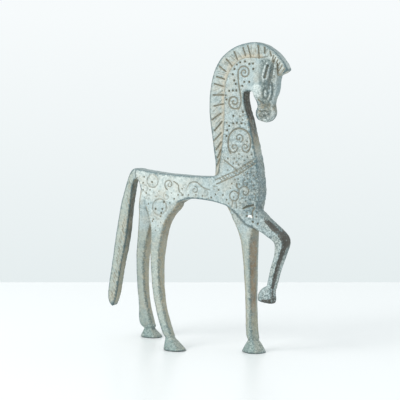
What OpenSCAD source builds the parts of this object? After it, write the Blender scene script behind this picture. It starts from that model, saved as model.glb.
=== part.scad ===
// Bronze horse statuette: a slab-bodied horse walking with its right foreleg raised.
// It faces +X, its left side is +Y, and it stands on Z = 0.
// The castings meet face to face and are held on blind dowels.

/* [Body] */
// Thickness of the trunk, across the horse
trunk_t = 8.7; // [8.4:0.1:9.4]
// Thickness of the neck where it passes the cheek
neck_t = 6.5; // [6:0.1:7.4]
// Thickness of the mane crest
mane_t = 5.4; // [4.8:0.1:6]
// Thickness of the tail
tail_t = 5.2; // [4.6:0.1:5.8]

/* [Head] */
// Thickness of the head at the cheeks
head_t = 6.6; // [6.2:0.1:7.2]
// Thickness of the muzzle
muzzle_t = 4.8; // [4.4:0.1:5.6]
// How far each ear stands out from the side of the head
ear_out = 1.3; // [1:0.1:1.8]

/* [Legs] */
// Sideways distance from the middle of the body to the sole of a hind hoof
hind_splay = 13.2; // [12:0.2:14]
// Thickness of a thigh, across the horse
thigh_t = 7.6; // [7:0.1:8.2]
// Roundness of the leg sections, where 2 is an ellipse and 8 is nearly square
leg_squareness = 4.5; // [3:0.5:8]

/* [Hooves] */
// Length of the sole of a standing hoof
hoof_l = 12.6; // [11.4:0.2:13]
// Width of the sole of a standing hoof
hoof_w = 9.6; // [9:0.2:10.4]
// Height of a hoof up to the coronet
hoof_h = 6.6; // [6:0.2:7.2]

/* [Dowels] */
// Diameter of the dowels in the neck and the legs
dowel_d = 2.6; // [2:0.1:2.8]
// Diameter of the dowels in the hooves, head, mane and tail
small_dowel_d = 1.6; // [1.2:0.1:1.8]

/* [Hidden] */

$fn = 48;
ring_points = 16;      // points round a leg section
steps = 4;             // spans that a curve makes between two of its points
far = 200;             // larger than the horse
bore_spare = 0.3;      // empty end of each blind dowel hole

bronze = "peru";
pale_bronze = "tan";
dark_bronze = "saddlebrown";
pin_metal = "goldenrod";

// ---- curves, slabs and lofts ----

// Point at t between b and c on a smooth curve through a, b, c and d
function between(a, b, c, d, t) =
    0.5 * (2 * b + (c - a) * t + (2 * a - 5 * b + 4 * c - d) * t * t
           + (3 * b - a - 3 * c + d) * t * t * t);

// Smooth open curve through the points p
function curve(p) =
    let (last = len(p) - 1)
    [for (i = [0:last - 1]) for (k = [0:steps - 1])
        between(p[max(i - 1, 0)], p[i], p[i + 1], p[min(i + 2, last)], k / steps),
     p[last]];

// Points of p in the opposite order
function reversed(p) = [for (i = [len(p) - 1:-1:0]) p[i]];

// Outline in the XZ plane, as thick as t and centred on Y = 0
module slab(outline, t) {
    rotate([90, 0, 0]) translate([0, 0, -t / 2]) linear_extrude(t) polygon(outline);
}

// Outline of a thickness that changes with height, drawn out along X.
// The profile lists [z, thickness] from the bottom to the top.
module thickness_wedge(profile) {
    last = len(profile) - 1;
    outline = concat([for (p = profile) [p[1] / 2, p[0]]],
                     [for (i = [last:-1:0]) [-profile[i][1] / 2, profile[i][0]]]);
    translate([-far / 2, 0, 0]) rotate([90, 0, 90]) linear_extrude(far) polygon(outline);
}

// One point of a rounded rectangle: size w by t, squareness s, angle a
function rounded(w, t, s, a) =
    [w / 2 * sign(cos(a)) * pow(abs(cos(a)), 2 / s),
     t / 2 * sign(sin(a)) * pow(abs(sin(a)), 2 / s)];

// Ring of a section [x, y, z, width, thickness, turn, tilt, squareness].
// turn is about the upright axis and tilt leans the ring about Y.
function ring(s) =
    [for (i = [0:ring_points - 1])
        let (p = rounded(s[3], s[4], s[7], 360 * (i + 0.5) / ring_points),
             u = p[0] * cos(s[5]) - p[1] * sin(s[5]),
             v = p[0] * sin(s[5]) + p[1] * cos(s[5]))
        [s[0] + u * cos(s[6]), s[1] + v, s[2] + u * sin(s[6])]];

// Solid through the sections, which run from the top down
module loft(sections) {
    rings = [for (s = curve(sections)) ring(s)];
    n = ring_points;
    top = len(rings) - 1;
    polyhedron(
        points = [for (r = rings) for (p = r) p],
        faces = concat(
            [[for (i = [n - 1:-1:0]) i]],
            [for (k = [0:top - 1]) for (i = [0:n - 1])
                [k * n + i, k * n + (i + 1) % n, (k + 1) * n + (i + 1) % n, (k + 1) * n + i]],
            [[for (i = [0:n - 1]) top * n + i]]),
        convexity = 6);
}

// Everything above or below the height z
module above(z) { translate([-far / 2, -far / 2, z]) cube(far); }
module below(z) { translate([-far / 2, -far / 2, z - far]) cube(far); }

// Dowel with its middle at p, leaning by tilt about Y and by roll about X
module pin_at(p, d, l, tilt = 0, roll = 0) {
    translate(p) rotate([roll, tilt, 0]) cylinder(d = d, h = l, center = true);
}

// ---- seams between the castings ----

leg_seam_z = 62;                   // haunch to hind leg
withers = [11.5, 85.5];            // rear end of the seam at the foot of the neck
neck_seam_slope = 16;              // rise of that seam towards the chest, in degrees
tail_seam_x = -33.5;               // rump to tail

// Everything over the seam at the foot of the neck
module over_neck_seam() {
    translate([withers[0], 0, withers[1]]) rotate([0, -neck_seam_slope, 0])
        translate([0, -far / 2, 0]) cube(far);
}

// ---- outlines ----

back_line = [[tail_seam_x, 88.1], [-30, 87.4], [-22, 86.4], [-11, 85.5], [0, 85.2], [7, 85.2], [11.5, 85.5]];
chest_line = [[34.8, 96], [35.7, 89], [36.4, 82], [36.4, 77], [35.9, 73], [35.1, 69.6]];
shoulder_line = [[33.3, 61.6], [29.5, 63.1], [26.8, 65.4], [23, 69], [18.5, 71.5]];
belly_line = [[18.5, 71.5], [10, 73.4], [0, 74.1], [-5.5, 73.2], [-10.5, 70.7], [-16, 68.5]];
rump_line = [[-25, 69], [-28.8, 75], [-31.4, 81.5], [tail_seam_x, 83.4]];

neck_front_line = [[36.4, 82], [35.7, 89], [34.4, 96.5], [31.1, 111], [28.7, 119], [28, 123], [27.9, 126.7]];
cheek_line = [[32.3, 126.7], [33.6, 130], [35, 133.4], [35.4, 137], [36.4, 142.4]];
mane_inner_line = [[14.2, 86], [15.6, 98], [16.9, 111], [17.1, 125], [18.4, 132.4], [21.6, 138.5],
                   [26.5, 142], [31, 142.8], [36.4, 142.4]];
mane_outer_line = [[11.5, 85.5], [11.7, 93], [9.6, 107], [8.4, 120], [10.1, 133], [14.5, 141.9],
                   [21.8, 147.5], [30.7, 150], [38, 148.9], [44.3, 145.1], [48.8, 140.2], [50.7, 136.6]];
forelock_line = [[50.7, 136.6], [48.2, 134.9], [45.9, 134.2]];
brow_line = [[36.4, 142.4], [41, 141.8], [44.4, 139.4], [45.9, 134.2]];
face_line = [[45.9, 134.2], [45.1, 130.5], [44.8, 126.5], [43.2, 122.6], [43, 119.2], [43.6, 116.6],
             [42.4, 113.6], [39.5, 112.1], [36.5, 112.3], [34.2, 114], [33.7, 116.8],
             [34.8, 120], [33.4, 123.4], [32.3, 126.7]];
ear_line = [[38.3, 129.8], [37.4, 133], [38.2, 137.2], [40.8, 140.6], [41.2, 136.5], [40.2, 132.5],
            [38.3, 129.8]];

tail_back_line = [[tail_seam_x, 88.1], [-36.1, 87.3], [-39, 82.8], [-43.3, 69], [-46.6, 51.5],
                  [-49.3, 36], [-51.2, 23.5], [-50.6, 18.8]];
tail_front_line = [[-48.6, 16.8], [-46.3, 22.5], [-43.7, 36], [-40.1, 52], [-37.4, 70], [-35.6, 80.5],
                   [tail_seam_x, 83.4]];

// ---- leg sections, each [x, y, z, width, thickness, turn, tilt, squareness] ----

ankle_t = 4.7;                     // thickness of a hind leg just over the hoof
low_coronet_z = hoof_h - 1.4;      // top of the left hind hoof
hip_z = 74;                        // height at which the hind legs begin to part

// Sideways place of a hind leg at the height z, which runs out to the middle of its hoof
function hind_y(z) = (hind_splay - 0.5) * (hip_z - min(z, hip_z)) / (hip_z - hoof_h);
// Thickness of a hind leg at the height z
function hind_t(z) = lookup(z, [[20, ankle_t], [52, thigh_t], [63, thigh_t], [72, trunk_t]]);

// Hind leg on the side -1 (right) or 1 (left) through stations [rear x, front x, z]
function hind_sections(side, stations) =
    [for (s = stations)
        [(s[0] + s[1]) / 2, side * hind_y(s[2]), s[2], s[1] - s[0], hind_t(s[2]), 0, 0, leg_squareness]];

right_hind_sections = hind_sections(-1, [
    [-28, -13, 80], [-28.6, -7.9, 71.5], [-25.9, -12.4, 65], [-23.5, -15.2, 58], [-22.1, -16.3, 45],
    [-19.7, -14.6, 30], [-16.5, -11.4, 19], [-12.3, -7, 9.4], [-10.4, -5.4, hoof_h]]);
left_hind_sections = hind_sections(1, [
    [-30.5, -16, 80], [-32.6, -19, 71], [-33.8, -24.2, 63], [-35.8, -29.1, 52], [-38.1, -32.6, 41],
    [-39.5, -34.4, 28], [-39.9, -34.4, 18], [-40.9, -33, 8.2], [-39.1, -32.2, low_coronet_z]]);
left_fore_sections = [
    [26, 0.8, 73, 19, 7.2, 0, 0, leg_squareness],
    [26.9, 1, 66, 13.2, 7.2, 4, 0, leg_squareness],
    [28.3, 1.2, 59, 9.4, 7.2, -10, 0, leg_squareness],
    [29.1, 1.3, 52, 6.5, 7.1, -18, 0, leg_squareness],
    [29.5, 1.6, 36, 5, 6.1, -20, 0, leg_squareness],
    [29.7, 1.8, 22, 4.5, 5.5, -20, 0, leg_squareness],
    [29.9, 2.1, 10, 4.8, 5.6, -20, 0, leg_squareness],
    [30.6, 2.2, hoof_h, 4.5, 5.8, -20, 0, leg_squareness]];
raised_turn = -12;                 // how far the raised foot is turned inward
raised_coronet = [42.6, -2, 33.1];
raised_coronet_tilt = -24;
right_fore_sections = [
    [30.5, -0.9, 69.2, 9, 7, 0, 40, leg_squareness],
    [36, -1, 64.6, 8.8, 7, -4, 44, leg_squareness],
    [42.6, -1.4, 60.3, 6.7, 6.8, -12, 42, leg_squareness],
    [48, -1.7, 55.6, 6.8, 6.6, -16, 14, leg_squareness],
    [47.3, -1.9, 49.6, 4.6, 6, -16, -14, leg_squareness],
    [44.9, -2, 42, 4, 5.4, -14, -16, leg_squareness],
    concat(raised_coronet, [4, 4.8, raised_turn, raised_coronet_tilt, leg_squareness])];

// ---- hooves: sections from the coronet down to the sole ----

coronet_l = 3.8;       // front to back at the coronet of a standing hoof
coronet_w = 4.3;       // across the coronet of a standing hoof
left_fore_extra_w = 1.2; // by how much the hoof under the standing foreleg is wider

// Hoof from the coronet centre c down to the sole centre s, with a sole of size l by w
function hoof_sections(c, s, l, w, turn = 0) = [
    concat(c, [coronet_l, coronet_w, turn, 0, 3.5]),
    concat(c * 0.7 + s * 0.3, [l * 0.51, w * 0.6, turn, 0, 3]),
    concat(c * 0.2 + s * 0.8, [l * 0.86, w * 0.9, turn, 0, 2.4]),
    concat(s, [l, w, turn, 0, 2.3])];

right_hind_hoof_sections =
    hoof_sections([-8, -hind_y(hoof_h), hoof_h], [-4.6, -hind_splay, 0], hoof_l, hoof_w);
left_hind_hoof_sections =
    hoof_sections([-35.9, hind_y(low_coronet_z), low_coronet_z], [-34.6, hind_splay, 0], hoof_l, hoof_w);
left_fore_hoof_sections = hoof_sections([30.5, 2.2, hoof_h], [30.8, 2.2, 0], hoof_l,
                                        hoof_w + left_fore_extra_w, -20);
right_fore_hoof_sections = [
    concat(raised_coronet, [3.7, 4.4, raised_turn, raised_coronet_tilt, 3.5]),
    [41, -2, 31, 7, 5.8, raised_turn, -20, 3],
    [40.1, -2, 28.2, 9.5, 7, raised_turn, -12, 2.6],
    [39.9, -2, 25.8, 8.9, 6.8, raised_turn, -6, 2.4]];

// ---- thickness of the slab castings, as [z, thickness] ----

body_profile = [[50, trunk_t], [85, trunk_t], [92, trunk_t - 0.5], [98, trunk_t - 1.2], [106, neck_t + 0.3],
                [116, neck_t], [130, neck_t], [144, neck_t - 0.3]];
head_profile = [[111, muzzle_t - 0.4], [116, muzzle_t], [122, muzzle_t + 0.7], [128, head_t], [144, head_t]];

// ---- whole forms, which the castings are cut from ----

module trunk_slab() {
    outline = concat(curve(back_line), curve(chest_line), curve(shoulder_line),
                     curve(belly_line), curve(rump_line));
    intersection() {
        slab(outline, far / 2);
        thickness_wedge(body_profile);
    }
}

// The space under the shoulder line, where the standing foreleg comes out of the trunk
module under_shoulder() {
    outline = concat(curve(shoulder_line), [[10, 73.7], [10, 0], [60, 0], [60, 61.6]]);
    slab(outline, far);
}

// The space in front of the seam where the raised foreleg leaves the chest
module before_chest() {
    low = shoulder_line[0];
    high = chest_line[len(chest_line) - 1];
    lean = atan2(high[0] - low[0], high[1] - low[1]);
    translate([low[0], 0, low[1]]) rotate([0, lean, 0]) translate([0, -far / 2, -far / 2]) cube(far);
}

// ---- dowels, which end spare short of their holes ----

neck_dowel_l = 12;
head_dowel_l = 9;
mane_dowel_l = 7;
tail_dowel_l = 5;
hind_dowel_l = 10;
left_fore_dowel_l = 10;
right_fore_dowel_l = 9;
hoof_dowel_l = 5.6;
raised_hoof_dowel_l = 4.6;

module neck_pins(spare = 0) {
    for (p = [[19, 87.7], [30, 90.8]])
        pin_at([p[0], 0, p[1]], dowel_d, neck_dowel_l + spare);
}

module head_pin(spare = 0) {
    pin_at([35.2, 0, 134.5], small_dowel_d, head_dowel_l + spare, 90);
}

module mane_pins(spare = 0) {
    for (p = [[15.7, 100], [16.9, 114], [17.5, 128]])
        pin_at([p[0], 0, p[1]], small_dowel_d, mane_dowel_l + spare, 90);
    pin_at([27, 0, 142.2], small_dowel_d, mane_dowel_l + spare);
}

module tail_pin(spare = 0) {
    pin_at([tail_seam_x, 0, 85.8], small_dowel_d, tail_dowel_l + spare, 90);
}

module right_hind_pin(spare = 0) {
    pin_at([-20, -hind_y(leg_seam_z), leg_seam_z], dowel_d, hind_dowel_l + spare);
}
module left_hind_pin(spare = 0) {
    pin_at([-29.6, hind_y(leg_seam_z), leg_seam_z], dowel_d, hind_dowel_l + spare);
}
module left_fore_pin(spare = 0) { pin_at([28.4, 1.1, 62.5], dowel_d, left_fore_dowel_l + spare); }
module right_fore_pin(spare = 0) { pin_at([34.3, -1, 65.6], dowel_d, right_fore_dowel_l + spare, -49); }

module right_hind_hoof_pin(spare = 0) {
    pin_at([-8, -hind_y(hoof_h), hoof_h], small_dowel_d, hoof_dowel_l + spare, -31, -10);
}
module left_hind_hoof_pin(spare = 0) {
    pin_at([-35.9, hind_y(low_coronet_z), low_coronet_z], small_dowel_d, hoof_dowel_l + spare, 0, 8);
}
module left_fore_hoof_pin(spare = 0) { pin_at([30.5, 2.2, hoof_h], small_dowel_d, hoof_dowel_l + spare); }
module right_fore_hoof_pin(spare = 0) {
    pin_at(raised_coronet, small_dowel_d, raised_hoof_dowel_l + spare, 22);
}

// ---- castings ----

module trunk() {
    color(bronze) difference() {
        union() {
            trunk_slab();
            intersection() { loft(right_hind_sections); above(leg_seam_z); }
            intersection() { loft(left_hind_sections); above(leg_seam_z); }
            difference() { loft(left_fore_sections); under_shoulder(); }
            difference() { loft(right_fore_sections); before_chest(); }
        }
        over_neck_seam();
        neck_pins(bore_spare);
        tail_pin(bore_spare);
        right_hind_pin(bore_spare);
        left_hind_pin(bore_spare);
        left_fore_pin(bore_spare);
        right_fore_pin(bore_spare);
    }
}

module neck() {
    outline = concat(curve(neck_front_line), curve(cheek_line), reversed(curve(mane_inner_line)));
    color(bronze) difference() {
        intersection() {
            slab(outline, far / 2);
            thickness_wedge(body_profile);
            over_neck_seam();
        }
        neck_pins(bore_spare);
        head_pin(bore_spare);
        mane_pins(bore_spare);
    }
}

module head() {
    outline = concat(curve(cheek_line), curve(brow_line), curve(face_line));
    color(bronze) difference() {
        intersection() {
            slab(outline, far / 2);
            thickness_wedge(head_profile);
        }
        head_pin(bore_spare);
    }
}

module mane() {
    outline = concat(curve(mane_outer_line), curve(forelock_line),
                     reversed(curve(brow_line)), reversed(curve(mane_inner_line)));
    color(pale_bronze) difference() {
        intersection() {
            slab(outline, mane_t);
            over_neck_seam();
        }
        mane_pins(bore_spare);
    }
}

// Leaf-shaped ear with a hollow, lying on the side -1 (right) or 1 (left) of the head
module ear(side) {
    rim = 0.62;            // size of the hollow compared with the ear
    middle = [39.4, 135.2];
    color(pale_bronze) translate([0, side * (head_t + ear_out) / 2, 0]) difference() {
        slab(curve(ear_line), ear_out);
        translate([middle[0], side * ear_out / 2, middle[1]]) scale(rim)
            translate([-middle[0], 0, -middle[1]]) slab(curve(ear_line), ear_out);
    }
}

module tail() {
    color(bronze) difference() {
        slab(concat(curve(tail_back_line), curve(tail_front_line)), tail_t);
        tail_pin(bore_spare);
    }
}

module right_hind_leg() {
    color(bronze) difference() {
        intersection() { loft(right_hind_sections); below(leg_seam_z); }
        right_hind_pin(bore_spare);
        right_hind_hoof_pin(bore_spare);
    }
}

module left_hind_leg() {
    color(bronze) difference() {
        intersection() { loft(left_hind_sections); below(leg_seam_z); }
        left_hind_pin(bore_spare);
        left_hind_hoof_pin(bore_spare);
    }
}

module left_foreleg() {
    color(bronze) difference() {
        intersection() { loft(left_fore_sections); under_shoulder(); }
        left_fore_pin(bore_spare);
        left_fore_hoof_pin(bore_spare);
    }
}

module right_foreleg() {
    color(bronze) difference() {
        intersection() { loft(right_fore_sections); before_chest(); }
        right_fore_pin(bore_spare);
        right_fore_hoof_pin(bore_spare);
    }
}

module right_hind_hoof() {
    color(dark_bronze) difference() {
        loft(right_hind_hoof_sections);
        right_hind_hoof_pin(bore_spare);
    }
}

module left_hind_hoof() {
    color(dark_bronze) difference() {
        loft(left_hind_hoof_sections);
        left_hind_hoof_pin(bore_spare);
    }
}

module left_fore_hoof() {
    color(dark_bronze) difference() {
        loft(left_fore_hoof_sections);
        left_fore_hoof_pin(bore_spare);
    }
}

module right_fore_hoof() {
    color(dark_bronze) difference() {
        loft(right_fore_hoof_sections);
        right_fore_hoof_pin(bore_spare);
    }
}

module neck_dowels() {
    color(pin_metal) neck_pins();
}

module head_dowel() {
    color(pin_metal) head_pin();
}

module mane_dowels() {
    color(pin_metal) mane_pins();
}

module tail_dowel() {
    color(pin_metal) tail_pin();
}

module leg_dowels() {
    color(pin_metal) {
        right_hind_pin();
        left_hind_pin();
        left_fore_pin();
        right_fore_pin();
    }
}

module hoof_dowels() {
    color(pin_metal) {
        right_hind_hoof_pin();
        left_hind_hoof_pin();
        left_fore_hoof_pin();
        right_fore_hoof_pin();
    }
}

trunk();
neck();
head();
mane();
ear(-1);  // right_ear
ear(1);  // left_ear
tail();
right_foreleg();
left_foreleg();
right_hind_leg();
left_hind_leg();
right_fore_hoof();
left_fore_hoof();
right_hind_hoof();
left_hind_hoof();
neck_dowels();
head_dowel();
mane_dowels();
tail_dowel();
leg_dowels();
hoof_dowels();
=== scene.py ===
"""A small patinated bronze horse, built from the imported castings.

Every casting is sampled as a signed distance on one shared grid. There the arrises are worn round,
the ornament is engraved and the cast skin is roughened. Then the grid is parted along the joints into
one mesh for each casting. Lengths are in millimetres until a mesh is made, which is in metres.
"""

import math

import bpy
import numpy as np
import openvdb as vdb
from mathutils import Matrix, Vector


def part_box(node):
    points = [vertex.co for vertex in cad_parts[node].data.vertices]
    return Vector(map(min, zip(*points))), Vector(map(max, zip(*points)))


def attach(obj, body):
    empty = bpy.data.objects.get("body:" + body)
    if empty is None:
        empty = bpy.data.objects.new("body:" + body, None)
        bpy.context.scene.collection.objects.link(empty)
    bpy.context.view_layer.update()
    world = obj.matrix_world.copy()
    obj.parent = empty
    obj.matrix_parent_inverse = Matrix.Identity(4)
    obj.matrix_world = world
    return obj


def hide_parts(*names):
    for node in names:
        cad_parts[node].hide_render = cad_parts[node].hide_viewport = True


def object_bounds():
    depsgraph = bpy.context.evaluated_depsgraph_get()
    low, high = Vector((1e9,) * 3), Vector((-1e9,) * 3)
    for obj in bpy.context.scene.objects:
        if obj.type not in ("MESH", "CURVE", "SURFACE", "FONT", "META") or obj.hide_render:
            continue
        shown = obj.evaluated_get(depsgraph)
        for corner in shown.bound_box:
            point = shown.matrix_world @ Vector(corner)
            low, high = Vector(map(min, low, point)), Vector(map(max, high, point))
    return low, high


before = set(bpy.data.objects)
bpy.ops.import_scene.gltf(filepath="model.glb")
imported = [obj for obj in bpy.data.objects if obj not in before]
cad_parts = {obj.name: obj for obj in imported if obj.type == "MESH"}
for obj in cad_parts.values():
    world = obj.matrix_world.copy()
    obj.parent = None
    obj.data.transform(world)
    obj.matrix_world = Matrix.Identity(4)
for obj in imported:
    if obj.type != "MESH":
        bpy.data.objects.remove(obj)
cad_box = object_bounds()

# ---------------------------------------------------------------- driving sizes, in millimetres
MM = 0.001
VOXEL = 0.3  # spacing of the samples
BAND = 8  # samples kept on each side of a surface
SEAL = 0.25  # how far the castings swell to close the joints between them
ARRIS = 0.32  # how far the arrises are worn, as the sigma of a blur
HEAD_ARRIS = 0.7  # the same on the head, which is modelled in the round
WEAR_AND_SHADE_REACH = 0.7  # sigma of the blur that tells ridges from hollows, for the worn arrises, the painted highlights and the painted shade
FORM_REACH = 1.3  # sigma of the blur that smooths the body to its broad forms
DEEP_WEAR = 0.3  # rise over the blurred body at which an arris is fully dark
POLL_HEIGHT = 142  # the softer arrises of the head begin below this height
JAW_X = 35  # and ahead of this X
DENT_HEIGHT, DENT_SIZE = 0.12, 7.0  # the broad unevenness of the casting
RIPPLE_HEIGHT, RIPPLE_SIZE = 0.06, 2.2  # the finer unevenness
PIT_SIZE = 1.0  # the lumps of the cast skin

CASTING_SLOTS = {
    "trunk": "worn_bronze",
    "neck": "worn_bronze",
    "head": "worn_bronze",
    "mane": "mane_bronze",
    "right_ear": "worn_bronze",
    "left_ear": "worn_bronze",
    "tail": "worn_bronze",
    "right_foreleg": "worn_bronze",
    "left_foreleg": "worn_bronze",
    "right_hind_leg": "worn_bronze",
    "left_hind_leg": "worn_bronze",
    "right_fore_hoof": "green_bronze",
    "left_fore_hoof": "green_bronze",
    "right_hind_hoof": "green_bronze",
    "left_hind_hoof": "green_bronze",
}
DOWELS = [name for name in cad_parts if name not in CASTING_SLOTS]


# ---------------------------------------------------------------- the sampling grid
SPARE = BAND + 2
grid_start = np.floor(np.array(cad_box[0]) / MM / VOXEL).astype(int) - SPARE
grid_stop = np.ceil(np.array(cad_box[1]) / MM / VOXEL).astype(int) + SPARE
grid_shape = tuple(int(n) for n in grid_stop - grid_start)
FAR = BAND * VOXEL
xs, zs = ((grid_start[a] + np.arange(grid_shape[a])) * VOXEL for a in (0, 2))
WHOLE = tuple(slice(0, n) for n in grid_shape)


def window_of(name):
    """The slices of the grid that hold a CAD node and the band round it."""
    low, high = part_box(name)
    first = np.floor(np.array(low) / MM / VOXEL).astype(int) - SPARE
    last = np.ceil(np.array(high) / MM / VOXEL).astype(int) + SPARE
    first = np.maximum(first, grid_start) - grid_start
    last = np.minimum(last, grid_stop) - grid_start
    return tuple(slice(int(a), int(b)) for a, b in zip(first, last))


def start_of(window):
    """The grid index of a window's first sample, counted from the origin."""
    return tuple(int(grid_start[a]) + window[a].start for a in range(3))


def read_grid(grid, window):
    """The samples of an OpenVDB grid in a window."""
    values = np.full([s.stop - s.start for s in window], FAR, np.float32)
    grid.copyToArray(values, ijk=start_of(window))
    return values


def level_set(points, window, **faces):
    """The signed distance to a closed mesh, in a window."""
    spacing = vdb.createLinearTransform(voxelSize=VOXEL)
    grid = vdb.FloatGrid.createLevelSetFromPolygons(points, transform=spacing, halfWidth=BAND, **faces)
    return read_grid(grid, window)


def surface_of(values, window, level=0.0):
    """Points, in millimetres, and quads of the surface where values cross a level."""
    grid = vdb.FloatGrid(FAR)
    grid.copyFromArray(np.ascontiguousarray(values, np.float32), ijk=start_of(window))
    grid.transform = vdb.createLinearTransform(voxelSize=VOXEL)
    points, quads = grid.convertToQuads(level)
    return points, quads


def distance_to_node(name, window):
    """The signed distance to a CAD node."""
    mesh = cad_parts[name].data
    points = np.empty(len(mesh.vertices) * 3, np.float32)
    mesh.vertices.foreach_get("co", points)
    mesh.calc_loop_triangles()
    triangles = np.empty(len(mesh.loop_triangles) * 3, np.int32)
    mesh.loop_triangles.foreach_get("vertices", triangles)
    points = points.reshape(-1, 3) / MM
    return level_set(points, window, triangles=triangles.reshape(-1, 3).astype(np.uint32))


def blurred(values, sigma):
    """Values smoothed by a Gaussian, one axis at a time."""
    reach = math.ceil(2.5 * sigma / VOXEL)
    weights = np.exp(-0.5 * (np.arange(-reach, reach + 1) * VOXEL / sigma) ** 2)
    weights /= weights.sum()
    for axis in range(3):
        padding = [(reach, reach) if a == axis else (0, 0) for a in range(3)]
        padded = np.pad(values, padding, mode="edge")
        total = np.zeros_like(values)
        for step, weight in enumerate(weights):
            shifted = [slice(None)] * 3
            shifted[axis] = slice(step, step + values.shape[axis])
            total += np.float32(weight) * padded[tuple(shifted)]
        values = total
    return values


def spread(count, cell):
    """Weights that spread a coarse lattice over count samples with a quadratic B-spline."""
    place = 1.5 + np.arange(count) * VOXEL / cell
    lattice = np.arange(math.ceil(place[-1]) + 3)
    gap = np.abs(place[:, None] - lattice[None, :])
    near = 0.75 - gap**2
    edge = 0.5 * np.clip(1.5 - gap, 0, None) ** 2
    return np.where(gap < 0.5, near, edge).astype(np.float32)


def noise(cell, seed):
    """Smooth seeded noise over the whole grid, of about unit height, with lumps of the size of a cell."""
    across, deep, high = (spread(grid_shape[a], cell) for a in range(3))
    shape = (deep.shape[1], across.shape[1], high.shape[1])
    lattice = np.random.default_rng(seed).uniform(-1.7, 1.7, shape).astype(np.float32)
    planes = across @ lattice @ high.T
    return np.einsum("yl,lxz->xyz", deep, planes, optimize=True)


# ---------------------------------------------------------------- drawing on the side faces
LIP = 0.5  # height of the lip beside a chased line, as a share of its depth


class Relief:
    """A map over X and Z of how deep the side faces are cut."""

    def __init__(self):
        self.depth = np.zeros((grid_shape[0], grid_shape[2]), np.float32)

    def near(self, points, width):
        """The part of the map within width of a line, and its distance from the line."""
        points = np.array(points, float)
        low = points.min(axis=0) - width
        high = points.max(axis=0) + width
        rows = slice(*np.searchsorted(xs, [low[0], high[0]]))
        columns = slice(*np.searchsorted(zs, [low[1], high[1]]))
        x, z = np.meshgrid(xs[rows], zs[columns], indexing="ij")
        gap = np.full(x.shape, np.inf)
        if len(points) == 1:
            points = np.repeat(points, 2, axis=0)
        for (x0, z0), (x1, z1) in zip(points[:-1], points[1:]):
            length2 = max((x1 - x0) ** 2 + (z1 - z0) ** 2, 1e-9)
            along = np.clip(((x - x0) * (x1 - x0) + (z - z0) * (z1 - z0)) / length2, 0, 1)
            gap = np.minimum(gap, np.hypot(x - x0 - along * (x1 - x0), z - z0 - along * (z1 - z0)))
        return (rows, columns), gap

    def groove(self, points, width=0.8, depth=0.3):
        """Cuts a round-bottomed groove along a line."""
        place, gap = self.near(points, width)
        cut = depth * np.clip(1 - (2 * gap / width) ** 2, 0, 1)
        self.depth[place] = np.maximum(self.depth[place], cut)

    def chase(self, points, width=0.9, depth=0.3):
        """Cuts a groove and leaves the metal pushed up beside it."""
        place, gap = self.near(points, 2 * width)
        lip = LIP * depth * np.clip(1 - np.abs(gap / width - 0.95) / 0.45, 0, 1)
        flat = self.depth[place] < 0.02
        self.depth[place] = np.where(flat, np.minimum(self.depth[place], -lip), self.depth[place])
        self.groove(points, width, depth)

    def ridge(self, points, width=0.9, height=0.2):
        """Raises a rounded ridge along a line."""
        place, gap = self.near(points, width)
        self.depth[place] -= height * np.clip(1 - (2 * gap / width) ** 2, 0, 1)

    def swell(self, centre, radii, height, turn=0):
        """Raises an oval swelling, or sinks it where height is negative."""
        x, z = np.meshgrid(xs - centre[0], zs - centre[1], indexing="ij")
        a = math.radians(turn)
        across = (x * math.cos(a) + z * math.sin(a)) / radii[0]
        along = (z * math.cos(a) - x * math.sin(a)) / radii[1]
        self.depth -= height * np.clip(1 - across**2 - along**2, 0, 1) ** 1.5

    def dots(self, centres, width=1.3, depth=0.6):
        """Punches round marks."""
        for centre in centres:
            self.groove([centre], width, depth)


def smooth_line(points, steps=8):
    """A Catmull-Rom curve through the points."""
    p = np.array(points, float)
    p = np.vstack([2 * p[0] - p[1], p, 2 * p[-1] - p[-2]])
    t = np.linspace(0, 1, steps, endpoint=False)[:, None]
    pieces = []
    for a, b, c, d in zip(p[:-3], p[1:-2], p[2:-1], p[3:]):
        bend = 2 * a - 5 * b + 4 * c - d
        twist = 3 * b - a - 3 * c + d
        pieces.append(0.5 * (2 * b + (c - a) * t + bend * t**2 + twist * t**3))
    return np.vstack([*pieces, p[-2:-1]])


def spiral(centre, radius, start, turns, inner=0.15, steps=40):
    """A spiral winding in from radius; start is in degrees, and turns is negative for clockwise."""
    t = np.linspace(0, 1, steps)
    reach = radius * (1 - (1 - inner) * t)
    angle = math.radians(start) + turns * 2 * math.pi * t
    return np.column_stack([centre[0] + reach * np.cos(angle), centre[1] + reach * np.sin(angle)])


def circle(centre, radius, steps=24):
    """A closed circle."""
    angle = np.linspace(0, 2 * math.pi, steps)
    return np.column_stack([centre[0] + radius * np.cos(angle), centre[1] + radius * np.sin(angle)])


# ---------------------------------------------------------------- the ornament
ornament = Relief()


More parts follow.
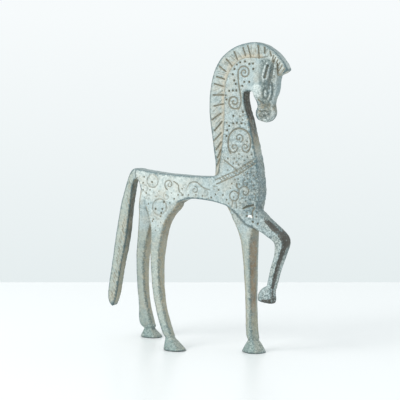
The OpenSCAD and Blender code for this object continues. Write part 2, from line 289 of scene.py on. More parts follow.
def carve_neck(relief):
    """Two joined scrolls, a palmette, the strap at the base, and the punched dots round them."""
    upper = (28.0, 135.6)
    lower = (22.6, 121.6)
    relief.chase(spiral(upper, 3.4, 180, -1.6), 1.0, 0.36)
    stem = [(24.6, 135.6), (24.8, 131), (26.0, 125), (26.2, 120.5), (24.8, 117.9)]
    relief.chase(smooth_line(stem), 1.0, 0.36)
    relief.chase(spiral(lower, 3.6, -55, -1.5), 1.0, 0.36)
    relief.dots([(23.9, 139.4), (25.8, 140.4), (28.3, 140.8), (30.7, 139.6), (32.6, 139.8), (32.8, 137.2)])
    relief.dots([(22.6, 137.3), (21.8, 134.7), (22.6, 131.8), (23.4, 130.1)])
    relief.dots([(28.0, 131.1), (30.6, 131.1), (26.9, 129.2)])
    relief.dots([(19.9, 126.8), (21.8, 127.0), (23.7, 127.0), (17.9, 124.6), (18.2, 122.7)])
    relief.dots([(27.3, 116.8), (22.1, 114.8), (22.1, 111.2), (24.0, 111.5), (26.5, 111.3)])
    relief.dots([(19.9, 110.0), (18.8, 107.8), (18.5, 105.1)])
    arch = [(20.9, 96.9), (19.9, 99.0), (19.4, 101.8), (19.8, 104.8), (21.5, 107.3), (24.0, 108.7),
            (26.7, 108.7), (29.4, 107.5), (31.1, 105.2), (31.7, 102.0), (31.2, 99.0), (29.8, 97.4)]
    relief.chase(smooth_line(arch), 1.1, 0.4)
    relief.chase(spiral((22.7, 99.6), 2.6, 200, 1.3), 0.9, 0.3)
    relief.chase(spiral((29.0, 99.8), 2.5, -20, -1.3), 0.9, 0.3)
    relief.chase(spiral((25.3, 104.2), 2.4, -60, 1.2), 0.9, 0.3)
    strap = np.array([(35.1, 92.6), (25.9, 87.0), (13.7, 81.8)])
    relief.chase(strap, 0.9, 0.35)
    relief.chase(strap + (-0.9, 1.9), 0.9, 0.3)
    for share in np.linspace(0.08, 0.92, 12):
        foot = smooth_line(strap)[int(share * 16)]
        relief.groove([foot + (-0.2, 0.3), foot + (-1.6, 1.4)], 0.7, 0.35)
    relief.chase([(17.5, 93.5), (25.2, 88.5)], 0.9, 0.3)


def carve_trunk(relief):
    """The knot on the chest, the rings and scrolls on the haunch, and the dots along the flank."""
    relief.chase(circle((23.2, 76.3), 2.4), 0.9, 0.3)
    relief.chase([(22.4, 74.0), (22.0, 70.8)], 0.8, 0.25)
    relief.chase([(24.2, 74.0), (24.6, 70.6)], 0.8, 0.25)
    relief.chase(spiral((29.0, 78.4), 3.4, 200, -1.2), 0.9, 0.3)
    relief.chase(smooth_line([(24.6, 82.2), (24.8, 80.4), (26.0, 79.6)]), 0.9, 0.35)
    relief.chase(spiral((29.6, 82.4), 1.9, 100, 1.0), 0.8, 0.25)
    relief.chase(smooth_line([(28.4, 70.6), (30.6, 71.6), (33.6, 72.3)]), 1.3, 0.6)
    relief.chase(smooth_line([(34.6, 71.4), (33.2, 69.0), (33.4, 66.6)]), 1.1, 0.4)
    relief.dots([(14.7, 78.9), (13.0, 76.7), (17.0, 76.6), (19.1, 74.3), (10.5, 75.1)], 1.1, 0.5)
    relief.dots([(30.2, 67.0), (33.4, 64.3), (36.1, 63.5)])
    relief.chase(circle((-23.0, 82.0), 3.2), 1.1, 0.18)
    relief.dots([(-23.3, 81.5)], 1.4, 0.45)
    relief.chase(circle((-18.6, 69.3), 4.0), 1.1, 0.18)
    relief.dots([(-16.2, 71.9), (-20.8, 68.2), (-16.8, 68.4), (-17.4, 66.4)])
    relief.chase(spiral((-13.4, 80.6), 2.8, 250, -1.3), 0.9, 0.25)
    relief.chase(smooth_line([(-10.6, 82.2), (-8.2, 80.6), (-7.6, 77.6), (-5.3, 75.7)]), 0.9, 0.25)
    relief.chase(smooth_line([(-3.6, 78.6), (-1.2, 81.8), (2.4, 82.2), (6.0, 79.8), (9.6, 78.8)]), 0.9, 0.22)
    relief.chase(spiral((1.2, 78.4), 1.9, 90, -1.2), 0.8, 0.22)
    faint_scrolls = [((-27.6, 78.6), 2.2), ((-14.6, 74.6), 2.4), ((-4.4, 79.6), 2.0), ((7.4, 77.4), 2.2),
                     ((-20.6, 75.6), 2.0), ((-25.4, 73.4), 1.7), ((12.6, 79.4), 1.9), ((-18.8, 63.6), 1.6)]
    for centre, radius in faint_scrolls:
        relief.chase(spiral(centre, radius, 40 * centre[1], 0.9), 1.3, 0.13)
    relief.dots([(-32.1, 83.3), (-28.0, 83.9), (-28.6, 80.9), (-28.6, 77.4), (-24.5, 77.5), (-26.8, 75.9)],
                1.0, 0.5)
    relief.dots([(-25.4, 70.5), (-22.2, 62.1), (-21.6, 63.1), (-17.5, 64.8), (-12.8, 71.5), (-10.5, 73.6)],
                1.0, 0.5)
    relief.dots([(-5.9, 78.7), (-8.2, 75.6), (-5.9, 75.5), (-2.2, 75.8), (2.0, 76.0), (5.6, 75.6)], 1.0, 0.45)
    relief.dots([(-27.2, 73.2), (-24.6, 66.8), (-21.0, 74.6), (-19.2, 77.0), (-15.2, 75.4), (-14.4, 62.6)],
                0.8, 0.3)
    relief.dots([(-18.6, 60.2), (-17.2, 61.8), (-19.8, 57.8), (-12.0, 76.4), (9.0, 74.6), (12.2, 80.6)],
                0.8, 0.3)


MARK_AREA = ((18.5, 66), (36, 118))  # lowest and highest X and Z of the small punch marks
MARK_TRIES = 900  # places tried; a place that is taken or unwanted is left empty
MARK_SPACING = 1.8  # least distance between two marks


def stipple(relief):
    """Small punch marks crowded over the lower neck and the chest, kept off the drawn lines."""
    rng = np.random.default_rng(8)
    marks = []
    for _ in range(MARK_TRIES):
        x, z = rng.uniform(*MARK_AREA)
        i, k = np.searchsorted(xs, x), np.searchsorted(zs, z)
        around = relief.depth[i - 3:i + 4, k - 3:k + 4]
        apart = all(math.hypot(x - a, z - b) > MARK_SPACING for a, b in marks)
        wanted = 0.25 + 0.75 * (x > 26 or 84 < z < 98)
        if apart and abs(around).max() < 0.05 and rng.random() < wanted:
            marks.append((x, z))
    relief.dots(marks, 1.1, 0.34)


MANE_ROOTS = [(14.6, 90), (15.6, 98), (16.9, 111), (17.1, 125), (18.4, 132.4), (21.6, 138.5), (26.5, 142),
              (31, 142.8), (36.4, 142.6), (41.5, 143), (45.4, 140.6), (46.2, 135.4)]
MANE_CREST = [(12.0, 88), (11.6, 93), (9.4, 107), (8.6, 120), (10.2, 133), (14.8, 141.6), (22, 147.3),
              (30.7, 150), (38, 148.7), (44, 144.7), (48.4, 139.9), (50.2, 136.8)]
DEEP_LOCKS = [
    ((12.6, 90.2), (14.3, 93.8)), ((12.9, 94.3), (15.1, 98.3)), ((12.3, 98.2), (15.1, 102.1)),
    ((10.7, 102.1), (15.1, 106.5)), ((11.2, 107.4), (15.6, 112.0)), ((9.9, 112.7), (14.8, 115.9)),
    ((11.2, 119.5), (16.5, 120.5)), ((10.6, 124.8), (16.5, 124.8)), ((11.4, 130.2), (16.2, 129.0)),
    ((12.6, 133.7), (17.0, 132.4)), ((14.2, 138.6), (17.5, 136.2)), ((18.0, 142.0), (21.0, 138.8)),
    ((22.2, 145.6), (24.0, 141.9)), ((27.0, 147.5), (28.4, 143.6)), ((29.5, 148.4), (31.3, 142.7)),
    ((35.1, 148.2), (35.8, 142.3)), ((38.7, 147.6), (38.7, 144.6)), ((41.5, 145.3), (42.2, 143.4)),
]
FORELOCK = [
    ((43.4, 143.5), (42.9, 141.8)), ((44.6, 142.6), (43.6, 141.0)), ((45.7, 141.4), (44.4, 139.2)),
    ((46.9, 140.2), (45.1, 137.3)), ((48.0, 139.0), (45.9, 135.9)), ((49.5, 137.6), (46.7, 134.6)),
]


def carve_mane(relief):
    """Locks parted by slanting grooves, deep ones between finer ones, under a plain crest."""
    roots = smooth_line(MANE_ROOTS, 20)
    crest = smooth_line(MANE_CREST, 20)
    rng = np.random.default_rng(5)
    last = len(roots) - 1
    for outer, inner in DEEP_LOCKS:
        relief.groove([outer, inner], 0.9, 0.5)
    for outer, inner in FORELOCK:
        relief.groove([outer, inner], 0.7, 0.45)
    for t in np.linspace(0.03, 0.8, 64):
        t += rng.uniform(-0.004, 0.004)
        slant = 0.055 * (1 - min(t / 0.35, 1))
        outer = crest[int(t * last)]
        inner = roots[int((t + slant) * last)]
        ends = [outer + (inner - outer) * f for f in (rng.uniform(0.2, 0.45), rng.uniform(0.6, 0.95))]
        relief.groove(ends, 0.7, rng.uniform(0.1, 0.26))
    relief.groove(roots[:int(0.8 * last)], 0.7, 0.25)


def carve_head(relief):
    """The ear's hollow, temple, eye, brow, cheek, mouth and nostril."""
    relief.groove(smooth_line([(40.9, 138.8), (40.2, 136.4), (39.4, 133.2)]), 1.5, 1.1)
    relief.ridge(smooth_line([(42.0, 139.6), (41.3, 136.4), (40.4, 132.6), (39.2, 129.4)]), 1.3, 0.3)
    temple = [(43.4, 140.8), (43.0, 137.6), (42.2, 134), (41.2, 130.4), (40.8, 128)]
    relief.groove(smooth_line(temple), 2.2, 0.6)
    relief.ridge(smooth_line([(44.4, 140.6), (44.3, 138), (43.9, 134.4)]), 1.2, 0.3)
    relief.groove(smooth_line([(45.5, 139.6), (45.6, 137.2), (45.7, 134.0)]), 0.9, 0.7)
    relief.swell((34.6, 126.2), (3.6, 4.6), 0.45, -10)
    relief.swell((39.3, 125.2), (1.6, 2.8), 0.45, 8)
    relief.groove(smooth_line([(39.4, 128.2), (38.2, 126.6), (38.1, 124.4), (39.1, 122.8)]), 0.9, 0.35)
    relief.groove(smooth_line([(39.4, 128.2), (40.6, 126.4), (40.5, 124.2), (39.1, 122.8)]), 1.1, 0.45)
    relief.ridge([(39.3, 126.2), (39.2, 124.6)], 1.0, 0.25)
    relief.groove(smooth_line([(42.5, 130.6), (43.2, 128.2), (43.0, 125.6), (42.0, 122.8)]), 1.6, 0.6)
    relief.groove(smooth_line([(35.4, 122.6), (36.8, 121.6), (38.2, 121.0)]), 1.2, 0.45)
    relief.swell((40.0, 119.6), (2.2, 1.9), -0.35)
    relief.swell((36.0, 119.4), (1.6, 1.6), -0.2)
    relief.groove(smooth_line([(35.6, 117.4), (37.0, 117.1), (38.8, 117.4), (40.4, 116.8)]), 1.0, 0.45)
    relief.swell((38.8, 114.6), (3.4, 2.2), 0.35)
    relief.groove(smooth_line([(35.6, 115.4), (36.4, 114.6), (37.6, 114.2)]), 0.9, 0.35)
    relief.dots([(38.6, 115.0), (40.7, 115.8)], 1.4, 0.5)


def hatch_tail(relief):
    """Short slanting strokes down the tail."""
    rng = np.random.default_rng(3)
    for z in np.linspace(20, 82, 52):
        middle = -35.6 - 0.2 * (84 - z)
        for column in (-1.6, 0.2, 2.0):
            foot = np.array((middle + column + rng.uniform(-0.5, 0.5), z + rng.uniform(-0.6, 0.6)))
            relief.groove([foot, foot + (1.0, -2.1)], 0.6, rng.uniform(0.12, 0.3))


def pitting():
    """How rough the cast skin is, over X and Z: roughest on the chest and the foot of the neck."""
    x, z = np.meshgrid(xs, zs, indexing="ij")
    rough = np.full(x.shape, 0.04, np.float32)
    chest = np.clip((x - 16) / 8, 0, 1) * np.clip((z - 60) / 6, 0, 1) * np.clip((128 - z) / 16, 0, 1)
    haunch = np.clip((4 - x) / 8, 0, 1) * np.clip((x + 34) / 3, 0, 1) * np.clip((z - 62) / 6, 0, 1)
    return rough + 0.1 * chest.astype(np.float32) + 0.03 * haunch.astype(np.float32)


carve_neck(ornament)
carve_trunk(ornament)
stipple(ornament)
carve_mane(ornament)
hatch_tail(ornament)
carve_head(ornament)

# ---------------------------------------------------------------- the cast body as one distance field
windows = {name: window_of(name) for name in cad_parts}
distances = {name: distance_to_node(name, windows[name]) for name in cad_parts}

body = np.full(grid_shape, FAR, np.float32)
for name, window in windows.items():
    body[window] = np.minimum(body[window], distances[name])
swollen, quads = surface_of(body, WHOLE, SEAL)
body = level_set(swollen, WHOLE, quads=quads) + np.float32(SEAL)
head_place = windows["head"]
rounder = blurred(body[head_place], HEAD_ARRIS)
body = blurred(body, ARRIS)
below_poll = np.clip((POLL_HEIGHT - zs[head_place[2]]) / 4, 0, 1)
ahead_of_jaw = np.clip((xs[head_place[0]] - JAW_X) / 2, 0, 1)
softer = (ahead_of_jaw[:, None, None] * below_poll[None, None, :]).astype(np.float32)
body[head_place] += softer * (rounder - body[head_place])
sideways = np.clip(np.abs(np.gradient(body, VOXEL, axis=1)), 0, 1)
body += ornament.depth[:, None, :] * sideways
del sideways
body += DENT_HEIGHT * noise(DENT_SIZE, 11) + RIPPLE_HEIGHT * noise(RIPPLE_SIZE, 12)
body += pitting()[:, None, :] * noise(PIT_SIZE, 13)

wear_and_shade_relief = blurred(body, WEAR_AND_SHADE_REACH)
form = blurred(body, FORM_REACH)
mane_gap = np.full(grid_shape, FAR, np.float32)
mane_gap[windows["mane"]] = distances["mane"]
neck_gap = np.full(grid_shape, FAR, np.float32)
neck_gap[windows["neck"]] = distances["neck"]


def sample(values, points, window=WHOLE):
    """Values between the samples of a window, at points in millimetres."""
    place = points / VOXEL - start_of(window)
    low = np.clip(np.floor(place).astype(int), 0, np.array(values.shape) - 2)
    part = place - low
    total = np.zeros(len(points))
    for corner in np.ndindex(2, 2, 2):
        weight = np.prod(np.where(corner, part, 1 - part), axis=1)
        total += weight * values[tuple((low + corner).T)]
    return total


def slope(values, points, window=WHOLE):
    """The gradient of values at points."""
    steps = np.eye(3) * VOXEL / 2
    ahead = [sample(values, points + step, window) for step in steps]
    behind = [sample(values, points - step, window) for step in steps]
    return (np.stack(ahead, axis=1) - np.stack(behind, axis=1)) / VOXEL


def unit(vectors):
    """The same vectors, each of length 1."""
    return vectors / (np.linalg.norm(vectors, axis=1, keepdims=True) + 1e-9)


def between(value, low, high):
    """0 below low, 1 above high, and smooth between."""
    t = np.clip((value - low) / (high - low), 0, 1)
    return t * t * (3 - 2 * t)


def colour(red, green, blue):
    """A linear colour from 0 to 255 display values."""
    def linear(v):
        v /= 255
        return v / 12.92 if v <= 0.04045 else ((v + 0.055) / 1.055) ** 2.4
    return (linear(red), linear(green), linear(blue), 1.0)


# ---------------------------------------------------------------- the colours of the patina, and painted shade, by place
PALE = colour(182, 197, 197)
CHALK = colour(206, 215, 211)
STEEL = colour(150, 168, 170)
SLATE = colour(104, 124, 128)
STONE = colour(126, 138, 133)
DUN = colour(124, 122, 104)
LEAD = colour(96, 112, 113)
SAND = colour(188, 181, 162)
REED = colour(174, 183, 174)
OLIVE = colour(166, 160, 137)
KHAKI = colour(146, 138, 116)
RUST = colour(142, 122, 96)
UMBER = colour(84, 82, 72)
FRESH = colour(255, 255, 255)
TEAL = colour(140, 160, 154)

CHIP = (32.0, 66.8)  # X and Z of a fresh chip on the right shoulder
CHIP_SIZE = (1.7, 0.7)


def on_mane(points):
    """How far each point lies on the mane's own surface."""
    return 1 - between(sample(mane_gap, points), 0.0, 0.6)


def on_head(points):
    """How far each point lies on the face, without the forelock."""
    x, _, z = points.T
    return between(x, 35, 37.5) * between(z, 109, 111) * (1 - on_mane(points))


def paint(points, normals, round_normals):
    """The patina's colour at each point, with painted shade at the hooves' feet and down the temples, how
    thickly it is spattered, and where it is worn to dark metal.
    """
    x, y, z = points.T
    ahead = between(normals[:, 0], 0.3, 0.6)
    behind = between(-normals[:, 0], 0.3, 0.6)
    side = between(np.abs(normals[:, 1]), 0.55, 0.8)
    tint = np.tile(np.array(PALE), (len(points), 1))
    spatter = np.full(len(points), 0.3)
    bare = np.zeros(len(points))

    def lay(mask, tone, spattered):
        """Colours the places in a mask, and sets how thickly they are spattered."""
        nonlocal tint, spatter
        tint += mask[:, None] * (np.array(tone) - tint)
        spatter += mask * (spattered - spatter)

    def strip(mask):
        """Wears the places in a mask down to the metal."""
        nonlocal bare
        bare = np.maximum(bare, mask)

    legs = 1 - between(z, 52, 62)
    outer = between(np.abs(y), 5, 7)
    haunch = (1 - between(x, -8, 8)) * between(z, 56, 64) * between(x, -36, -33)
    chest = between(x, 20, 32) * between(z, 60, 70) * (1 - between(z, 92, 104))
    breast = between(x, 27, 33) * between(z, 62, 72) * (1 - between(z, 90, 98))
    lower_neck = between(z, 84, 96) * (1 - between(z, 112, 124))
    mane = on_mane(points)
    root = mane * between(-sample(neck_gap, points), -3.0, -0.6)
    tail = 1 - between(x, -36.5, -34)
    head = on_head(points)
    raised = between(x, 35, 39) * (1 - between(z, 64, 68))
    raised_foot = raised * (1 - between(z, 31, 34))
    hoof = 1 - between(z, 5.5, 8)

    lay(haunch * side * np.maximum(outer, between(z, 70, 76)), CHALK, 0.15)
    lay(chest, STEEL, 0.7)
    lay(breast * 0.35, SLATE, 1.0)
    lay(lower_neck * (1 - mane) * (1 - chest), PALE, 0.5)
    lay(mane * side * between(x, 40, 44), CHALK, 0.2)
    lay(root, SAND, 0.1)
    lay(legs * side * (1 - tail), REED, 0.3)
    lay(tail * side, REED, 0.1)
    lay((ahead + behind) * (1 - chest) * (1 - head) * (1 - mane * between(z, 134, 138)), OLIVE, 0.2)
    lay(behind * tail, PALE, 0.1)
    foreleg_front = ahead * between(x, 24, 28) * (1 - between(x, 36, 38))
    rust = foreleg_front * between(z, 14, 26) * (1 - between(z, 52, 62))
    lay(rust, REED, 0.2)
    lay(rust * (1 - between(y, 1.2, 2.8)), RUST, 0.1)
    thigh = (1 - between(x, -6, 0)) * between(z, 52, 58) * (1 - between(z, 72, 75))
    lay(ahead * thigh, KHAKI, 0.2)
    throat = ahead * between(z, 98, 108) * (1 - between(z, 127, 132)) * (1 - between(x, 34, 35))
    lay(throat, UMBER, 0.2)
    lay(ahead * tail * between(z, 30, 60) * 0.8, UMBER, 0.2)

    temple = (1 - between(np.abs(x - 41.8), 1.0, 2.4)) * between(z, 120, 124) * (1 - between(z, 136, 140))
    lay(head, STONE, 0.8)
    lay(head * between(z, 121, 125) * (1 - between(x, 36, 38)), STEEL, 0.3)
    lay(head * (1 - between(z, 120, 123)), DUN, 0.8)
    lay(head * (1 - between(z, 116, 118)), LEAD, 0.9)
    lay(head * ahead * between(z, 119, 122), STEEL, 0.4)
    # painted shade down the temple, beside the ear
    lay(head * side * temple, SLATE, 0.8)
    chip = np.hypot((x - CHIP[0]) / CHIP_SIZE[0], (z - CHIP[1]) / CHIP_SIZE[1])
    lay((1 - between(chip, 0.8, 1.1)) * (1 - between(y, -3, 0)), FRESH, 0)

    lay(hoof, TEAL, 0.9)
    lay(hoof * ahead * 0.7, SAND, 0.8)
    # painted shade along the foot of each hoof, where it stands on the table
    lay(hoof * (1 - between(z, 0.3, 1.0)), UMBER, 0.9)
    lay((1 - between(z, 8, 22)) * 0.4, TEAL, 0.5)
    lay(raised, PALE, 0.8)
    lay(raised_foot, PALE, 1.0)

    forward = round_normals[:, 0] + 0.7 * np.clip(round_normals[:, 2], 0, 1)
    corner = between(forward, 0.15, 0.4) * between(np.abs(round_normals[:, 1]), 0.15, 0.4)
    corner *= 1 - between(forward, 0.86, 0.96) * (1 - between(z, 48, 52))
    lay(raised * between(forward, 0.4, 0.7) * between(z, 46, 50), SLATE, 1.0)
    strip(raised * corner * (1 - raised_foot) * 0.75)
    strip(raised * between(x, 46, 49) * between(z, 50, 55) * between(forward, 0.3, 0.6) * 0.7)
    strip(raised_foot * ahead * 0.5)
    strip(raised_foot * (1 - between(z, 27, 28.5)) * 0.6)
    strip(throat * between(z, 108, 116) * 0.55)
    return tint, spatter, bare


def add_mask(mesh, name, values):
    """Stores one number for each vertex, which the materials read."""
    layer = mesh.attributes.new(name, "FLOAT", "POINT")
    layer.data.foreach_set("value", np.asarray(values, np.float32))


def add_masks(mesh, points):
    """Where the metal is dark along an arris, where a highlight is painted on ridges and lips, where shade is
    painted in hollows, where it is cut or spattered, and its own colour.
    """
    normals = unit(slope(wear_and_shade_relief, points))
    x, _, z = points.T
    i = np.clip(np.round(x / VOXEL).astype(int) - grid_start[0], 0, grid_shape[0] - 1)
    k = np.clip(np.round(z / VOXEL).astype(int) - grid_start[2], 0, grid_shape[2] - 1)
    rise = sample(wear_and_shade_relief, points)
    head = on_head(points)
    tint, spatter, bare = paint(points, normals, unit(slope(form, points)))
    cut = ornament.depth[i, k] * np.abs(normals[:, 1])
    shoulder = between(x, 30, 33) * between(z, 64, 70) * (1 - between(z, 88, 93)) * (1 - between(x, 37, 39))
    keen = 1 - 0.5 * np.maximum.reduce([head, 1 - between(z, 5, 8), shoulder])
    add_mask(mesh, "arris", np.clip(rise / DEEP_WEAR, 0, 1) * keen)
    # painted highlight: pale on the head's ridges and on the raised lips beside the chased lines
    add_mask(mesh, "painted_highlight", np.maximum(between(rise, 0.06, 0.22) * head, between(-cut, 0.03, 0.15)))
    # painted shade: darker in the hollows
    add_mask(mesh, "hollow", between(-rise, 0.015, 0.14))
    add_mask(mesh, "cut", np.clip(cut, 0, 1) * (1 - 0.8 * head))
    add_mask(mesh, "bare", bare)
    add_mask(mesh, "upward", between(normals[:, 2], 0.5, 0.9) * between(z, 60, 70))
    add_mask(mesh, "spatter", spatter)
    layer = mesh.attributes.new("tint", "FLOAT_COLOR", "POINT")
    layer.data.foreach_set("color", tint.astype(np.float32).ravel())


# ---------------------------------------------------------------- materials
TAN_MOTTLE = colour(190, 180, 158)
BLUE_MOTTLE = colour(134, 156, 158)
DARK_FLECK = colour(110, 130, 130)
PALE_FLECK = colour(216, 226, 223)
UPWARD_GREY = colour(108, 126, 128)
# grey of the painted shade in hollows
HOLLOW_SHADE = colour(88, 100, 98)
SHALLOW_CUT = colour(138, 128, 104)
DEEP_CUT = colour(80, 80, 66)
SOOT = colour(66, 84, 86)
DARK_ARRIS = colour(84, 106, 110)
BARE_METAL = colour(70, 66, 58)
# pale of the painted highlights on ridges and lips
HIGHLIGHT_WHITE = colour(210, 219, 216)
ROD_PALE = colour(150, 122, 78)
ROD_DARK = colour(122, 98, 62)
TABLE_WHITE = (0.8, 0.825, 0.83, 1)
WALL_LOW = colour(230, 238, 239)
WALL_HIGH = colour(247, 251, 252)


def node(tree, kind, inputs=(), **settings):
    """Adds a shader node. Inputs are values or the sockets that feed them."""
    made = tree.nodes.new(kind)
    for name, value in settings.items():
        setattr(made, name, value)
    for socket, value in dict(inputs).items():
        if isinstance(value, bpy.types.NodeSocket):
            tree.links.new(value, made.inputs[socket])
        else:
            made.inputs[socket].default_value = value
    return made


class Shading:
    """Small steps for building a patina out of masks and noise."""

    def __init__(self, material):
        self.tree = material.node_tree
        self.tree.nodes.clear()
        self.place = node(self.tree, "ShaderNodeTexCoord").outputs["Object"]

    def mask(self, name, output="Fac"):
        """What a vertex attribute holds."""
        return node(self.tree, "ShaderNodeAttribute", attribute_name=name).outputs[output]

    def grain(self, size, detail=3.0, roughness=0.55):
        """Noise whose lumps are about size millimetres."""
        inputs = {"Vector": self.place, "Scale": 1 / (size * MM), "Detail": detail, "Roughness": roughness}
        return node(self.tree, "ShaderNodeTexNoise", inputs).outputs["Fac"]

    def step(self, value, low, high, to_low=0.0, to_high=1.0):
        """Value moved from the range low to high onto another, and held there."""
        inputs = {"Value": value, "From Min": low, "From Max": high, "To Min": to_low, "To Max": to_high}
        return node(self.tree, "ShaderNodeMapRange", inputs).outputs["Result"]

    def maths(self, operation, a, b):
        """An arithmetic operation on two values."""
        return node(self.tree, "ShaderNodeMath", {0: a, 1: b}, operation=operation).outputs[0]

    def mix(self, factor, a, b):
        """Colour a where factor is 0, and b where it is 1."""
        made = node(self.tree, "ShaderNodeMix", data_type="RGBA")
        for socket, value in (("Factor_Float", factor), ("A_Color", a), ("B_Color", b)):
            target = next(s for s in made.inputs if s.identifier == socket)
            if isinstance(value, bpy.types.NodeSocket):
                self.tree.links.new(value, target)
            else:
                target.default_value = value
        return next(s for s in made.outputs if s.identifier == "Result_Color")


def patinated(name, dull, spatter_size):
    """Cast bronze under a pale patina: mottled faces, darker cuts and arrises, painted shade in the hollows
    and painted highlights on ridges and lips.
    """
    material = bpy.data.materials.new(name)
    material.use_nodes = True
    s = Shading(material)
    tint = s.mask("tint", "Color")
    flecked = s.step(s.mask("spatter"), 0, 1, 0.35, 1)
    tint = s.mix(s.step(s.grain(6), 0.46, 0.62, 0, 0.35), tint, TAN_MOTTLE)
    tint = s.mix(s.step(s.grain(2.2, 4.0), 0.48, 0.66, 0, 0.45), tint, BLUE_MOTTLE)
    dark_flecks = s.step(s.grain(1.5, 5.0, 0.8), 0.5, 0.62, 0, 0.55)
    tint = s.mix(s.maths("MULTIPLY", flecked, dark_flecks), tint, DARK_FLECK)
    pale_flecks = s.step(s.grain(1.0, 5.0, 0.8), 0.52, 0.62, 0, 0.6)
    tint = s.mix(s.maths("MULTIPLY", flecked, pale_flecks), tint, PALE_FLECK)
    tint = s.mix(s.step(s.mask("upward"), 0, 1, 0, 0.6), tint, UPWARD_GREY)
    # painted shade in the hollows
    tint = s.mix(s.step(s.mask("hollow"), 0, 1, 0, 0.7), tint, HOLLOW_SHADE)
    tint = s.mix(s.step(s.mask("cut"), 0.05, 0.25, 0, 0.65), tint, SHALLOW_CUT)
    tint = s.mix(s.step(s.mask("cut"), 0.37, 0.5, 0, 0.85), tint, DEEP_CUT)
    soot = s.maths("MULTIPLY", s.step(s.grain(spatter_size, 5.0, 0.75), 0.46, 0.56), s.mask("spatter"))
    tint = s.mix(s.step(soot, 0, 1, 0, 0.9), tint, SOOT)
    ragged = s.maths("ADD", s.mask("arris"), s.step(s.grain(0.8, 4.0, 0.7), 0.3, 0.7, -0.3, 0.3))
    arris = s.step(ragged, 0.3, 0.8)
    tint = s.mix(s.step(arris, 0, 1, 0, 0.85), tint, DARK_ARRIS)
    worn = s.maths("ADD", s.mask("bare"), s.step(s.grain(1.4, 5.0, 0.7), 0.3, 0.7, -0.4, 0.4))
    tint = s.mix(s.step(worn, 0.35, 0.65, 0, 0.9), tint, BARE_METAL)
    # painted highlight, broken by noise, on ridges and on the lips of chased lines
    highlight_spots = s.maths("MULTIPLY", s.mask("painted_highlight"), s.step(s.grain(0.9, 4.0, 0.7), 0.4, 0.55))
    tint = s.mix(s.step(highlight_spots, 0, 1, 0, 0.8), tint, HIGHLIGHT_WHITE)
    uneven = s.step(s.grain(1.2), 0.3, 0.7, dull, dull + 0.15)
    roughness = s.maths("SUBTRACT", uneven, s.step(arris, 0, 1, 0, 0.15))
    height = s.maths("ADD", s.grain(0.4, 4.0), s.maths("MULTIPLY", s.grain(1.2), 1.5))
    bump = node(s.tree, "ShaderNodeBump", {"Height": height, "Strength": 0.7, "Distance": 0.00015})
    shader = node(s.tree, "ShaderNodeBsdfPrincipled", {
        "Base Color": tint,
        "Metallic": s.step(arris, 0, 1, 0.1, 0.45),
        "Roughness": roughness,
        "Normal": bump.outputs["Normal"],
    })
    out = node(s.tree, "ShaderNodeOutputMaterial")
    s.tree.links.new(shader.outputs["BSDF"], out.inputs["Surface"])
    return material


def pin_material():
    """Drawn rod with a mottled grain, for the hidden dowels."""
    material = bpy.data.materials.new("pin_metal_drawn")
    material.use_nodes = True
    s = Shading(material)
    tint = s.mix(s.step(s.grain(0.8), 0.35, 0.65), ROD_PALE, ROD_DARK)
    bump = node(s.tree, "ShaderNodeBump", {"Height": s.grain(0.3), "Strength": 0.3, "Distance": 0.00005})
    shader = node(s.tree, "ShaderNodeBsdfPrincipled", {
        "Base Color": tint,
        "Metallic": 1.0,
        "Roughness": s.step(s.grain(0.5), 0.3, 0.7, 0.3, 0.5),
        "Normal": bump.outputs["Normal"],
    })
    out = node(s.tree, "ShaderNodeOutputMaterial")
    s.tree.links.new(shader.outputs["BSDF"], out.inputs["Surface"])
    return material


materials = {
    "worn_bronze": patinated("worn_bronze_patina", 0.5, 0.8),
    "mane_bronze": patinated("mane_bronze_patina", 0.5, 0.9),
    "green_bronze": patinated("green_bronze_patina", 0.45, 0.7),
}

# ---------------------------------------------------------------- one mesh for each casting
dowel_distance = np.full(grid_shape, FAR, np.float32)
for name in DOWELS:
    window = windows[name]
    dowel_distance[window] = np.minimum(dowel_distance[window], distances[name])


def nearest_other(name):
    """The distance to the nearest other casting, in the window of this one."""
    window = windows[name]
    total = np.full(grid_shape, FAR, np.float32)
    for other in CASTING_SLOTS:
        if other != name:
            total[windows[other]] = np.minimum(total[windows[other]], distances[other])
    return total[window]


RIM_REACH = 0.6  # points within this many samples of the rim are moved onto it
RIM_STEPS = 4  # Newton steps towards the rim
LEAST_SIZE = 0.05  # keeps a step finite where the two surfaces are nearly parallel


def sharpen_rim(points, share, window):
    """Moves points near the rim of a joint face to where the joint meets the outer surface."""
    off = np.maximum(np.abs(sample(body, points)), np.abs(sample(share, points, window)))
    rim = off < RIM_REACH * VOXEL
    place = points[rim].astype(float)
    for _ in range(RIM_STEPS):
        out = sample(body, place)
        over = sample(share, place, window)
        g = slope(body, place)
        h = slope(share, place, window)
        gg = (g * g).sum(axis=1)
        hh = (h * h).sum(axis=1)
        gh = (g * h).sum(axis=1)
        size = np.maximum(gg * hh - gh * gh, LEAST_SIZE)
        step = ((out * hh - over * gh) / size)[:, None] * g + ((over * gg - out * gh) / size)[:, None] * h
        place -= np.clip(step, -VOXEL / 2, VOXEL / 2)
    points = points.astype(float)
    points[rim] = place
    return points


def shade_outside(mesh, points, faces, share, window):
    """Shades the outer faces with the body's own slope, so that a joint doesn't show as an edge."""
    middles = points[faces].mean(axis=1)
    outer = np.abs(sample(body, middles)) < np.abs(sample(share, middles, window))
    normals = unit(slope(body, points))[faces]
    normals[~outer] = 0
    mesh.normals_split_custom_set(normals.reshape(-1, 3))


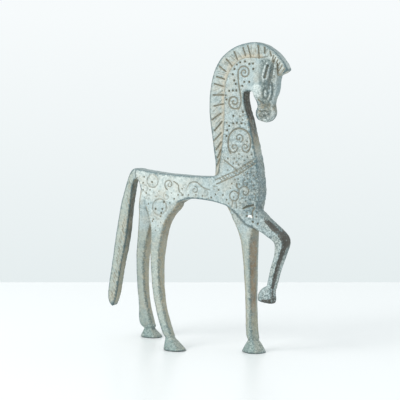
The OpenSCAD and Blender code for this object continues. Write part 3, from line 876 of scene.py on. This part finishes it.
def make_casting(name, slot):
    """Makes a piece of the body that lies nearer to this casting than to any other, less its dowel holes."""
    window = windows[name]
    share = (distances[name] - nearest_other(name)) / 2
    values = np.maximum(np.maximum(body[window], share), -dowel_distance[window])
    points, faces = surface_of(values, window)
    points = sharpen_rim(points, share, window)
    mesh = bpy.data.meshes.new(name + "_casting")
    mesh.from_pydata(points * MM, [], faces)
    mesh.polygons.foreach_set("use_smooth", [True] * len(mesh.polygons))
    shade_outside(mesh, points, faces, share, window)
    add_masks(mesh, points)
    mesh.materials.append(materials[slot])
    piece = bpy.data.objects.new(name + "_casting", mesh)
    bpy.context.collection.objects.link(piece)
    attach(piece, "root")
    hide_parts(name)


for name, slot in CASTING_SLOTS.items():
    make_casting(name, slot)

pin_metal = pin_material()
for name in DOWELS:
    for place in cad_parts[name].material_slots:
        place.material = pin_metal

# ---------------------------------------------------------------- stage, camera and light, in metres
TARGET = Vector((1.8, 0, 73.26)) * MM  # the point that the camera and the lamp face
VIEW_AZIMUTH = math.radians(30)  # from the right side towards the front
VIEW_DISTANCE = 0.7
EYE_HEIGHT = 0.12897
FILM_WIDTH = 36  # millimetres, as the lens is
LENS = 128.03
TABLE_BEHIND = 0.235  # how far behind the target the table ends
TABLE_REACH = 3.0  # how far it goes on to the sides and the front
TABLE_DROP = 0.00002  # how far the table lies below Z = 0
LAMP_PLACE = (-0.35, -0.75, 0.75)
LAMP_SIZE = 0.6
LAMP_POWER = 6.0
LAMP_TINT = (1.0, 0.99, 0.97)

run = math.sqrt(VIEW_DISTANCE**2 - (EYE_HEIGHT - TARGET.z) ** 2)
away = Vector((math.sin(VIEW_AZIMUTH), -math.cos(VIEW_AZIMUTH), 0))
across = Vector((math.cos(VIEW_AZIMUTH), math.sin(VIEW_AZIMUTH), 0))


def aim(thing, place, target):
    """Puts a camera or lamp at a place and turns it to a target."""
    thing.location = place
    thing.rotation_euler = (target - place).to_track_quat("-Z", "Y").to_euler()


camera_data = bpy.data.cameras.new("camera")
camera_data.sensor_width = FILM_WIDTH
camera_data.lens = LENS
camera_data.clip_start = 0.01
camera_data.clip_end = 20
camera = bpy.data.objects.new("camera", camera_data)
bpy.context.collection.objects.link(camera)
eye = Vector((TARGET.x, TARGET.y, 0)) + away * run + Vector((0, 0, EYE_HEIGHT))
aim(camera, eye, TARGET)
bpy.context.scene.camera = camera


def add_table():
    """A white table top that ends a little behind the horse."""
    centre = Vector((TARGET.x, TARGET.y, -TABLE_DROP))
    far_edge = centre - away * TABLE_BEHIND
    near_edge = centre + away * TABLE_REACH
    aside = across * TABLE_REACH
    corners = [far_edge + aside, far_edge - aside, near_edge - aside, near_edge + aside]
    mesh = bpy.data.meshes.new("table_top")
    mesh.from_pydata([tuple(c) for c in corners], [], [(0, 1, 2, 3)])
    table = bpy.data.objects.new("table_top", mesh)
    bpy.context.collection.objects.link(table)
    material = bpy.data.materials.new("white_table")
    material.use_nodes = True
    s = Shading(material)
    shader = node(s.tree, "ShaderNodeBsdfPrincipled", {
        "Base Color": TABLE_WHITE,
        "Roughness": 0.35,
        "Specular IOR Level": 0.3,
    })
    out = node(s.tree, "ShaderNodeOutputMaterial")
    s.tree.links.new(shader.outputs["BSDF"], out.inputs["Surface"])
    mesh.materials.append(material)


def add_lamp(name, place, size, power, tint):
    """A soft square lamp turned to the horse."""
    data = bpy.data.lights.new(name, "AREA")
    data.size = size
    data.energy = power
    data.color = tint
    lamp = bpy.data.objects.new(name, data)
    bpy.context.collection.objects.link(lamp)
    aim(lamp, Vector(place), TARGET)


def add_wall_light():
    """A near-white surround, a little darker towards the table."""
    world = bpy.data.worlds.new("studio")
    bpy.context.scene.world = world
    world.use_nodes = True
    tree = world.node_tree
    tree.nodes.clear()
    height = node(tree, "ShaderNodeSeparateXYZ", {0: node(tree, "ShaderNodeTexCoord").outputs["Generated"]})
    up = node(tree, "ShaderNodeMapRange", {"Value": height.outputs["Z"], "From Min": -0.14, "From Max": 0.05})
    ramp = node(tree, "ShaderNodeMix", data_type="RGBA")
    tree.links.new(up.outputs["Result"], ramp.inputs[0])
    ramp.inputs[6].default_value = WALL_LOW
    ramp.inputs[7].default_value = WALL_HIGH
    background = node(tree, "ShaderNodeBackground", {"Color": ramp.outputs[2], "Strength": 1.0})
    out = node(tree, "ShaderNodeOutputWorld")
    tree.links.new(background.outputs["Background"], out.inputs["Surface"])


add_table()
add_wall_light()
add_lamp("key", LAMP_PLACE, LAMP_SIZE, LAMP_POWER, LAMP_TINT)
bpy.context.scene.view_settings.view_transform = "Standard"
